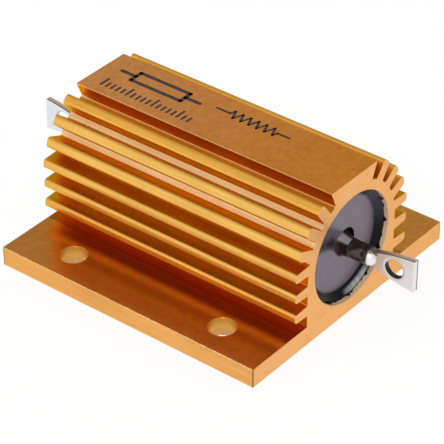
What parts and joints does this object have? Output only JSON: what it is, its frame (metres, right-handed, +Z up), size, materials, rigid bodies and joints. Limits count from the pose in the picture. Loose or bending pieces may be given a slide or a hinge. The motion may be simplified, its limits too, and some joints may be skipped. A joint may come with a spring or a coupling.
{
  "type": "aluminium housed power resistor",
  "caption": "Wire-wound resistor element moulded into a finned, gold-anodised aluminium extrusion with a drilled mounting plate and a flattened, drilled terminal at each end.",
  "frame": {"origin": "centre of the underside of the mounting plate", "axes": "+X along the bore, from terminal to terminal; +Y across the mounting plate; +Z up, out of the mounting face"},
  "size_m": [0.0716, 0.0474, 0.0241],
  "materials": {
    "anodised_aluminium": "gold anodised, satin",
    "moulding_compound": "moulded, semi-gloss",
    "ceramic": "unglazed steatite",
    "resistance_wire": "drawn nickel alloy",
    "cap_steel": "plated, pressed",
    "tinned_terminal": "tin plated",
    "marking_ink": "printed ink"
  },
  "bodies": {
    "root": {"housing": "anodised_aluminium", "moulded_compound": "moulding_compound", "ceramic_core": "ceramic", "resistance_winding": "resistance_wire", "end_cap_left": "cap_steel", "end_cap_right": "cap_steel", "terminal_left": "tinned_terminal", "terminal_right": "tinned_terminal"}
  },
  "joints": []
}
